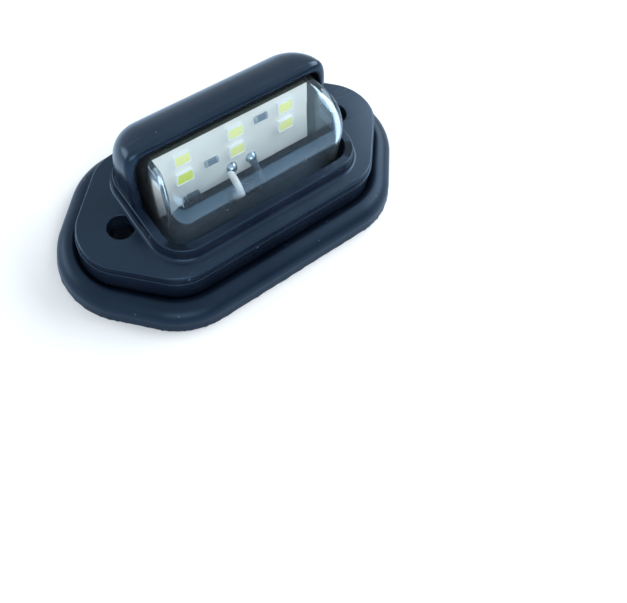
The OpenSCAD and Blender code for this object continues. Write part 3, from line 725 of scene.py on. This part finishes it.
edge, mouth = BASE["edge"], FRAME["mouth"]
lower = [(skirt_r, FLOOR), (skirt_r, LIP - SKIRT_ROUND)]
lower += arc(skirt_r - SKIRT_ROUND, LIP - SKIRT_ROUND, SKIRT_ROUND, 0, 90, 4) + [(BASE["r"], LIP)]
upper = [(BASE["r"], LIP), (BASE["r"], TOP - edge)] + arc(BASE["r"] - edge, TOP - edge, edge, 0, 90, 8)
wall = arc(FRAME["r"] + FRAME["foot"], TOP + FRAME["foot"], FRAME["foot"], 270, 180, 8)
ridge = FRAME["edge"]
wall += arc(FRAME["r"] - FRAME["draft"] - ridge, FRAME["top"] - ridge, ridge, 5, 90, 6)
band = [wall[-1], (open_r + mouth, FRAME["top"])]
band += arc(open_r + mouth, FRAME["top"] - mouth, mouth, 90, 180, 6)
well = [band[-1], (open_r, PLATE_BOTTOM), (chamber_r, PLATE_BOTTOM), (chamber_r, FLOOR)]

plate_edge = outline(base_c, BASE["r"] - edge, **ROUND)
frame_foot = outline(frame_c, FRAME["r"] + FRAME["foot"], **ROUND)
recess_top = RECESS_R + RECESS_ROUND
screw_wall = [(recess_top, TOP)] + arc(recess_top, TOP - RECESS_ROUND, RECESS_ROUND, 90, 180, 5)
screw_wall += [(RECESS_R, TOP - RECESS_DEPTH), (SCREW_R, TOP - RECESS_DEPTH), (SCREW_R, FLOOR)]
upper_holes = [circle(x, 0, recess_top)[::-1] for x in (-HOLE_X, HOLE_X)]
lower_holes = [circle(x, 0, SCREW_R)[::-1] for x in (-HOLE_X, HOLE_X)]
skirt_foot = [outline(base_c, skirt_r, **ROUND), outline(frame_c, chamber_r, **ROUND)[::-1]]
housing = build("housing_skin", [
    belt(stack(base_c, lower, **ROUND)),
    belt(stack(base_c, upper, **ROUND)),
    flat([plate_edge, frame_foot[::-1]] + upper_holes, TOP),
    belt(stack(frame_c, wall, **ROUND)),
    belt(stack(frame_c, band, **ROUND)),
    belt(stack(frame_c, well, **ROUND)),
    flat(skirt_foot + lower_holes, FLOOR, up=False),
] + [bore(x, 0, screw_wall) for x in (-HOLE_X, HOLE_X)] + hood_patches, sharp=38)
# The second material, a darker copy of the plastic, is painted shade for the faces inside the hood.
place(housing, ["housing"], "housing_plastic", "housing_plastic", "hood_inside_shade")
print("housing faces:", len(housing.data.polygons))

# %% [markdown]
# The inside of the hood and the well gets a darker, less glossy copy of the plastic as painted shade: all
# faces near the opening that look at a line in the middle of the lamp.

# %% Painted shade inside
LINE_HALF, LINE_Z, INSIDE_X, INSIDE_Y = 18, 18, 24.3, 13.3


def looks_inside(face):
    """Whether a face of the housing is near the opening and its normal points at the middle line."""
    c = np.array(face.center) * MM_PER_M
    line = np.array([np.clip(c[0], -LINE_HALF, LINE_HALF), 0, LINE_Z])
    near = abs(c[0]) < INSIDE_X and abs(c[1]) < INSIDE_Y and c[2] > PLATE_BOTTOM
    return near and np.array(face.normal) @ (line - c) > 0


for face in housing.data.polygons:
    face.material_index = int(looks_inside(face))
print("dull faces:", sum(face.material_index for face in housing.data.polygons))

# %% [markdown]
# ## Lens
# The lens is a clear dome over a rounded rectangle, held by a flange under the base plate. Only two
# surfaces, a wall apart, give the bright edges of clear plastic.

# %% Lens
WALL = 1.2
LENS = dict(x=22.37, y=11.77, r=4.0, r1=2.8, top=27.4, rise=8.0, side=7.6, end=2.0)
THINNER = dict(x=WALL, y=WALL, r=WALL, r1=WALL, top=WALL, rise=0.0, side=WALL / 2, end=WALL / 3)
CAVITY = {key: LENS[key] - THINNER[key] for key in LENS}
FLANGE_R, FLANGE_T = open_r + 1.7, 1.5
FLANGE_BOTTOM = PLATE_BOTTOM - FLANGE_T


def dome(size, steps=18):
    """Rings of a curved top, from the upright wall to the flat crown. At the angle a the half width is
    y - side (1 - cos a), the half length x - end (1 - cos a)^2 and the height top - rise (1 - sin a)."""
    a = np.radians(np.linspace(0, 90, steps + 1))
    s, q = 1 - np.cos(a), (1 - np.cos(a)) ** 2
    radius = size["r"] + (size["r1"] - size["r"]) * s
    half_x, half_y = size["x"] - size["end"] * q, size["y"] - size["side"] * s
    height = size["top"] - size["rise"] * (1 - np.sin(a))
    return [raised(outline(corners(x, y, r), r, **ROUND), z)
            for x, y, r, z in zip(half_x, half_y, radius, height)]


outside, inside = dome(LENS), dome(CAVITY)
outer_foot, inner_foot = outside[0][:, :2], inside[0][:, :2]
flange = outline(frame_c, FLANGE_R, **ROUND)
lens = build("lens_skin", [
    belt([raised(outer_foot, PLATE_BOTTOM)] + outside),
    flat([outside[-1]], LENS["top"]),
    belt(inside[::-1] + [raised(inner_foot, FLANGE_BOTTOM)]),
    flat([inside[-1]], CAVITY["top"], up=False),
    flat([flange, inner_foot[::-1]], FLANGE_BOTTOM, up=False),
    belt([raised(flange, FLANGE_BOTTOM), raised(flange, PLATE_BOTTOM)]),
    flat([flange, outer_foot[::-1]], PLATE_BOTTOM),
], sharp=38)
place(lens, ["lens"], "clear_plastic")
print("lens faces:", len(lens.data.polygons))

# %% [markdown]
# ## Board and parts
# Small parts are rounded blocks: an outline of four circles over a profile with a rounded top edge. The
# board's own frame has x along it, y up its face and z out of it, and one matrix takes it to the lamp.

# %% Board helpers
TILT, BOARD_Y, BOARD_Z = 77.5, -1.7, FLANGE_BOTTOM + 2.25
BOARD = dict(length=39.9, height=15.62, t=1.2, r=0.15, edge=0.06)
SMALL = dict(arc_steps=5, side_steps=2)
# The board's last colour is that of the painted shade at its foot and left end.
BOARD_TONES, BOARD_SHADE = ((0.81, 0.79, 0.71), (0.88, 0.86, 0.78)), (0.16, 0.20, 0.25)
tilt = np.radians(TILT)
on_board = Matrix.Translation(Vector((0, BOARD_Y, BOARD_Z)) / MM_PER_M) @ Matrix.Rotation(tilt, 4, "X")


def block(x, y, z0, z1, at=(0, 0), r=0.2, edge=0.1, both=False):
    """Patches of a rounded block of half sizes x, y between the heights z0 and z1. Its top edge is round,
    and its lower edge too if both is set."""
    profile = ([(r - edge, z0)] + arc(r - edge, z0 + edge, edge, -90, 0, 3)) if both else [(r, z0)]
    profile = profile + arc(r - edge, z1 - edge, edge, 0, 90, 3)
    return capped(stack(corners(x, y, r) + np.array(at), profile, **SMALL))


def board_white():
    """White solder mask over faint copper tracks. Towards the foot and the left end its colour is darkened
    as painted shade, mottled by a noise. The colours are laid out in the board's own x and y."""
    material, tree, shader, co = new_material("board_white", (0.78, 0.82, 0.82), 0.42)
    turned = tree.nodes.new("ShaderNodeMapping")
    turned.vector_type = "TEXTURE"
    place_at = (0, BOARD_Y / MM_PER_M, BOARD_Z / MM_PER_M)
    own = set_inputs(tree, turned, Vector=co, Location=place_at, Rotation=(tilt, 0, 0)).outputs[0]
    at = axes_of(tree, own)
    tone = noise(tree, own, 150, 4.0)
    base = mix_colour(tree, remap(tree, tone, 0.35, 0.65), *BOARD_TONES)
    # Painted shade: darker towards the board's foot and left end, mottled by a noise.
    low = remap(tree, at["Y"], 0.0075, 0.0)
    left = remap(tree, at["X"], 0.0, -0.019, 0.35, 1.0)
    shade_mottle = remap(tree, noise(tree, own, 320, 4.0, 0.6), 0.3, 0.6, 0.5, 0.85)
    painted_shade = times(tree, times(tree, low, left), shade_mottle)
    set_inputs(tree, shader, Base_Color=mix_colour(tree, painted_shade, base, BOARD_SHADE))
    tracks = add_node(tree, "TexBrick", Vector=own, Scale=60.0, Mortar_Size=0.012, Mortar_Smooth=0.5)
    bump(tree, shader, maths(tree, "ADD", times(tree, tone, 0.3), tracks.outputs["Fac"]), 0.12)
    return material


MAT["board_white"] = board_white()
print("board foot at", (BOARD_Y, round(BOARD_Z, 2)), "leaning", 90 - TILT, "degrees back")

# %% [markdown]
# ## Back cover and board
# A flat cover closes the housing from below and carries the board. It isn't in the photo, so it is
# plain: a slab with a slot for the leads, and two brackets behind the leaning board.

# %% Back cover
COVER_BOTTOM, SLOT_R = FLANGE_BOTTOM - 2.0, 1.75
SLOT_C = corners(4.4, 1.8, SLOT_R) + [0, -3.3]
BRACKET = dict(middles=(-13.0, 13.0), half=1.2, depth=4.0, top=1.2, share=0.75, sunk=0.2)

slot = outline(SLOT_C, SLOT_R, **SMALL)[::-1]
cover = build("back_cover_skin", [
    belt([raised(flange, COVER_BOTTOM), raised(flange, FLANGE_BOTTOM)]),
    flat([flange, slot], FLANGE_BOTTOM),
    flat([flange, slot], COVER_BOTTOM, up=False),
    belt(stack(SLOT_C, [(SLOT_R, FLANGE_BOTTOM), (SLOT_R, COVER_BOTTOM)], **SMALL)),
], sharp=38)
place(cover, ["back_cover"], "cover_plastic")


def bracket_section():
    """Corners of a bracket's side view: it stands on the cover and its front lies along the board's back
    for a share of the board's height."""
    back_y, back_z = BOARD_Y + BOARD["t"] * np.sin(tilt), BOARD_Z - BOARD["t"] * np.cos(tilt)
    high_y = back_y + BRACKET["share"] * BOARD["height"] * np.cos(tilt)
    high_z = back_z + BRACKET["share"] * BOARD["height"] * np.sin(tilt)
    foot_z = FLANGE_BOTTOM - BRACKET["sunk"]
    heel_y, top_y = back_y + BRACKET["depth"], high_y + BRACKET["top"]
    return np.array([[BOARD_Y, foot_z], [heel_y, foot_z], [top_y, high_z], [high_y, high_z],
                     [back_y, back_z], [BOARD_Y, BOARD_Z]])


brackets, section = [], bracket_section()
for middle in BRACKET["middles"]:
    sides = [np.column_stack([np.full(6, middle + d * BRACKET["half"]), section]) for d in (1, -1)]
    brackets += [belt(sides), (sides[0], [list(range(6))]), (sides[1], [list(range(6))[::-1]])]
bracket = build("board_brackets", brackets, sharp=20)
place(bracket, [], "cover_plastic")
print("cover and brackets:", len(cover.data.polygons), len(bracket.data.polygons), "faces")

# %% Board
board_half = (BOARD["length"] / 2, BOARD["height"] / 2)
board = build("circuit_board_skin", block(*board_half, -BOARD["t"], 0, (0, board_half[1]), BOARD["r"],
                                          BOARD["edge"], True), matrix=on_board)
place(board, ["circuit_board"], "board_white", "board_white", "board_edge_shaded")
# Side faces take the edge material: the substrate's colour darkened by painted shade.
face_up = np.array(on_board)[:3, 2]
for face in board.data.polygons:
    face.material_index = int(abs(np.array(face.normal) @ face_up) < 0.5)
print("board faces:", len(board.data.polygons))

# %% [markdown]
# ## Light sources
# Each light source is a white package with a yellow casting in its window. All six have the same
# shape, but the first one of the lower row is greener in the photo.

# %% Light sources
PITCH, DROP, ROWS = 13.36, 2.97, 5.2
LED = dict(x=2.0, y=1.55, r=0.15, top=0.8, edge=0.06)
MOUTH = dict(x=1.8, y=1.25, r=0.3, levels=((0, 0.8), (0.2, 0.42)))
CASTING = dict(x=1.77, y=1.22, r=0.3, levels=((0.16, 0.5), (0.0, 0.72), (0.25, 0.78)))
GREENER = 3


def shrinking(size, at):
    """Rings of a rounded rectangle round a point: one for each (amount it is smaller by, height)."""
    return [raised(outline(corners(size["x"] - d, size["y"] - d, size["r"]) + at, size["r"], **SMALL), z)
            for d, z in size["levels"]]


for k in range(6):
    at = np.array([(k % 3 - 1) * PITCH, BOARD["height"] - DROP - (k // 3) * ROWS])
    edge = LED["edge"]
    rim_profile = [(LED["r"], 0)] + arc(LED["r"] - edge, LED["top"] - edge, edge, 0, 90, 3)
    rim = stack(corners(LED["x"], LED["y"], LED["r"]) + at, rim_profile, **SMALL)
    mouth_rings = shrinking(MOUTH, at)
    body = build(f"led_{k + 1}_skin", [
        belt(rim), flat([rim[-1], mouth_rings[0][::-1]], LED["top"]), belt(mouth_rings),
        flat([mouth_rings[1]], MOUTH["levels"][-1][1]), flat([rim[0]], 0.0, up=False)], matrix=on_board)
    place(body, [f"led_{k + 1}"], "led_body")
    fill = build(f"phosphor_{k + 1}_skin", capped(shrinking(CASTING, at)), matrix=on_board)
    colour = "phosphor_lime" if k == GREENER else "phosphor_yellow"
    place(fill, [f"phosphor_{k + 1}"], "phosphor_yellow", colour)
print("light sources:", k + 1)

# %% [markdown]
# ## Resistors, diode and solder joints
# The small chips are blocks with tinned ends, given by half length, half width, bottom and top. A solder
# joint is a drop whose foot runs out flat: radius = r cos a (1 + (1 - sin a)^4 / 10), height 0.98 r sin a.

# %% Resistors, diode and solder joints
RESISTORS = ((-6.4, BOARD["height"] - DROP - ROWS), (7.1, BOARD["height"] - DROP))
CHIP, LEFT_END, RIGHT_END = (1.1, 0.78, 0.05, 0.5), (0.42, 0.8, 0.0, 0.5), (0.28, 0.8, 0.0, 0.55)
DIODE, TAB = (1.5, 0.85, 0.1, 1.1), (0.45, 0.45, 0.0, 0.25)
DIODE_X, DIODE_Y, TAB_X = -12.3, 1.0, 1.45
SOLDER_R, SQUASH, RUN_OUT = 1.3, 0.98, 0.10
JOINTS = ((-1.6, 2.7), (3.7, 2.7))

for k, (x, y) in enumerate(RESISTORS):
    part = build(f"resistor_{k + 1}_skin", block(*CHIP, (x, y), 0.05, 0.04, True), matrix=on_board)
    place(part, [f"resistor_{k + 1}"], "resistor_grey")
    ends = block(*LEFT_END, (x - 1.4, y), 0.08, 0.06) + block(*RIGHT_END, (x + 1.3, y), 0.08, 0.06)
    caps = build(f"resistor_{k + 1}_ends", ends, matrix=on_board)
    place(caps, [], "solder", "dull_tin")

diode = build("diode_skin", block(*DIODE, (DIODE_X, DIODE_Y), 0.3, 0.2, True), matrix=on_board)
place(diode, ["diode"], "diode_black")
left_tab, right_tab = (block(*TAB, (DIODE_X + d, DIODE_Y), 0.08, 0.05) for d in (-TAB_X, TAB_X))
tabs = build("diode_tabs", left_tab + right_tab, matrix=on_board)
place(tabs, [], "solder", "dull_tin")


def drop_rings(x, y, steps=12, sides=32):
    """Rings of a solder joint, from the board to just below its top."""
    a = np.radians(np.linspace(0, 90, steps + 1))[:-1]
    radius = SOLDER_R * np.cos(a) * (1 + RUN_OUT * (1 - np.sin(a)) ** 4)
    return [raised(circle(x, y, r, sides), z) for r, z in zip(radius, SOLDER_R * np.sin(a) * SQUASH)]


for k, (x, y) in enumerate(JOINTS):
    joint = build(f"solder_joint_{k + 1}_skin", capped(drop_rings(x, y)), sharp=60, matrix=on_board)
    place(joint, [f"solder_joint_{k + 1}"], "solder")
print("resistors:", len(RESISTORS), "joints:", len(JOINTS))

# %% [markdown]
# ## Leads inside the lamp
# Both wires go from their solder joints through the cover's slot to the pad's outlet, on a smooth curve
# through listed points chosen after the photo.

# %% Leads inside the lamp
DIP, JOINT_DEPTHS = np.radians(42), (0.5, 0.98, 1.96)
LEAD_STARTS = {"white_lead": (-2.4, 2.7), "black_lead": (3.7, 2.7)}
ROUTES = {
    "white_lead": [(-2.4, -4.7, 11.0), (-2.4, -4.9, 9.8), (-2.3, -4.2, 8.3), (-2.1, -3.3, 6.6),
                   (-1.6, -2.2, 5.0), (-1.2, -1.1, 4.0), (-1.03, -0.25, 2.9), (-1.0, 0, 1.5), (-1.0, 0, 0)],
    "black_lead": [(3.6, -4.7, 11.0), (3.4, -4.9, 9.8), (3.0, -4.2, 8.3), (2.5, -3.3, 6.6),
                   (1.9, -2.2, 5.0), (1.3, -1.1, 4.0), (1.03, -0.25, 2.9), (1.0, 0, 1.5), (1.0, 0, 0)],
}


def on_lamp(x, y, z):
    """A point of the board's frame in the lamp's frame, in millimetres."""
    return np.array(on_board @ (Vector((x, y, z)) / MM_PER_M)) * MM_PER_M


for name, route in ROUTES.items():
    x, y = LEAD_STARTS[name]
    starts = [on_lamp(x, y - d * np.sin(DIP), d * np.cos(DIP)) for d in JOINT_DEPTHS]
    path = even(catmull(starts + route), step=0.4)
    lead = build(f"{name}_skin", tube(path, WIRE_D / 2), sharp=40, weighted=False)
    place(lead, [name], "wire_" + name.split("_")[0])
    print(name, "points:", len(path))

# %% [markdown]
# ## Free wires and tie
# The free wires follow the paths worked out above and end in 4 mm of bare tinned strands. The tie is
# a rounded band round the waist of both hanks.

# %% Free wires and tie
TINNED_LENGTH, TINNED_R = 4.0, 0.45
TINNED_RADII = np.concatenate([[TINNED_R, 0.47], np.full(12, TINNED_R), [0.40, 0.25]])
TIE = dict(x=4.1, y=3.0, r=1.2, outer=2.1, half=1.4, edge=0.2)

for name, path in paths.items():
    colour = name.split("_")[0]
    wire = build(f"{name}_skin", tube(path, WIRE_D / 2), sharp=40, weighted=False)
    place(wire, [name, f"{colour}_hank"], f"wire_{colour}")
    ahead = path[-1] - path[-2]
    along = np.linspace(-1, TINNED_LENGTH, len(TINNED_RADII))[:, None]
    tinned = path[-1] + ahead / np.linalg.norm(ahead) * along
    end = build(f"{name}_tinned_end", tube(tinned, TINNED_RADII, 14), sharp=50, weighted=False)
    place(end, [], "solder")

low, high = MIDDLE - TIE["half"], MIDDLE + TIE["half"]
tie_r, band_r, edge = TIE["r"], TIE["outer"], TIE["edge"]
tie_profile = [(tie_r, low), (band_r - edge, low), (band_r, low + edge), (band_r, high - edge),
               (band_r - edge, high), (tie_r, high), (tie_r, low)]
tie_rings = stack(corners(TIE["x"], TIE["y"], tie_r), tie_profile, arc_steps=8, side_steps=6)
tie = build("wire_tie_skin", [belt(tie_rings)], sharp=30)
place(tie, ["wire_tie"], "tie_plastic")
print("hanks from", round(TOP_FOLD + FOLD_R, 2), "down to", round(BOTTOM_FOLD - FOLD_R, 2))

# %% [markdown]
# ## Floor and light
# The lamp lies on a pale panel that is clear from below, so its back shows too. Three soft lamps and a
# pale sky light the scene. Gloss mirrors its surroundings, so the sky is dark low at the front, where
# the photographer stands. The camera itself sees plain white, as in the photo.

# %% Floor
FLOOR_HALF_M, FLOOR_Z_M, CLOSE_M = 1.5, -0.0002, 0.0005
FLOOR_COLOUR, FLOOR_MIRRORED = (0.97, 0.95, 0.93), (0.70, 0.86, 1.0)


def floor_material():
    """White, with the lamp's soft shadow. It is clear from below and for what almost touches it, so the
    pad's back is lit, and a little bluer in mirrors."""
    material = bpy.data.materials.new("pale_panel")
    material.use_nodes = True
    tree = material.node_tree
    tree.nodes.clear()
    rays = add_node(tree, "LightPath").outputs
    colour = mix_colour(tree, rays["Is Glossy Ray"], FLOOR_COLOUR, FLOOR_MIRRORED)
    diffuse = add_node(tree, "BsdfDiffuse", Color=colour)
    clear = add_node(tree, "BsdfTransparent")
    below = add_node(tree, "NewGeometry").outputs["Backfacing"]
    hidden = larger(tree, below, maths(tree, "LESS_THAN", rays["Ray Length"], CLOSE_M))
    add_node(tree, "OutputMaterial", Surface=mix_shaders(tree, hidden, diffuse, clear))
    return material


floor_mesh = bpy.data.meshes.new("panel")
signs = ((-1, -1), (1, -1), (1, 1), (-1, 1))
floor_corners = [(x * FLOOR_HALF_M, y * FLOOR_HALF_M, FLOOR_Z_M) for x, y in signs]
floor_mesh.from_pydata(floor_corners, [], [(0, 1, 2, 3)])
floor = bpy.data.objects.new("panel", floor_mesh)
floor.data.materials.append(floor_material())
bpy.context.scene.collection.objects.link(floor)
print("floor at", FLOOR_Z_M * MM_PER_M, "mm")

# %% Lamps
LOOK_AT_M, DAYLIGHT = (0, 0, 0.01), (0.93, 0.97, 1.0)


def soft_lamp(name, place_at, size, watts):
    """A soft rectangular lamp that faces the number plate lamp."""
    data = bpy.data.lights.new(name, "AREA")
    data.shape = "RECTANGLE"
    data.size, data.size_y = size
    data.energy = watts
    data.color = DAYLIGHT
    lamp = bpy.data.objects.new(name, data)
    lamp.location = place_at
    lamp.rotation_euler = (Vector(LOOK_AT_M) - Vector(place_at)).to_track_quat("-Z", "Y").to_euler()
    bpy.context.scene.collection.objects.link(lamp)


soft_lamp("left window", (-0.42, 0.42, 0.20), (0.4, 0.3), 1.3)
soft_lamp("front window", (-0.3, -0.58, 0.32), (0.5, 0.4), 2.0)
soft_lamp("right window", (0.46, 0.0, 0.36), (0.55, 0.26), 3.0)
print("lamps:", len(bpy.data.lights))

# %% Sky
SKY_LOW, SKY_HIGH, SKY_FRONT = (0.80, 0.90, 1.0), (0.95, 1.0, 1.0), (0.16, 0.20, 0.26)
SKY_LIGHT, SKY_SEEN, BACKGROUND = 0.72, 1.0, (1.0, 1.0, 1.0)

world = bpy.data.worlds.new("sky")
bpy.context.scene.world = world
world.use_nodes = True
sky = world.node_tree
rays = add_node(sky, "LightPath").outputs
up = axes_of(sky, add_node(sky, "TexCoord").outputs["Generated"])
through = larger(sky, rays["Is Glossy Ray"], rays["Is Transmission Ray"])
seen = larger(sky, rays["Is Camera Ray"], through)
height = times(sky, seen, remap(sky, up["Z"], 0.1, 0.75))
front = times(sky, remap(sky, up["Y"], -0.6, -0.85), remap(sky, up["Z"], 0.6, 0.3))
pale = mix_colour(sky, front, mix_colour(sky, height, SKY_LOW, SKY_HIGH), SKY_FRONT)
colour = mix_colour(sky, rays["Is Camera Ray"], pale, BACKGROUND)
strength = remap(sky, seen, 0, 1, SKY_LIGHT, SKY_SEEN)
set_inputs(sky, sky.nodes["Background"], Color=colour, Strength=strength)
print("sky nodes:", len(sky.nodes))

# %% The end
bpy.context.scene.view_settings.view_transform = "Standard"
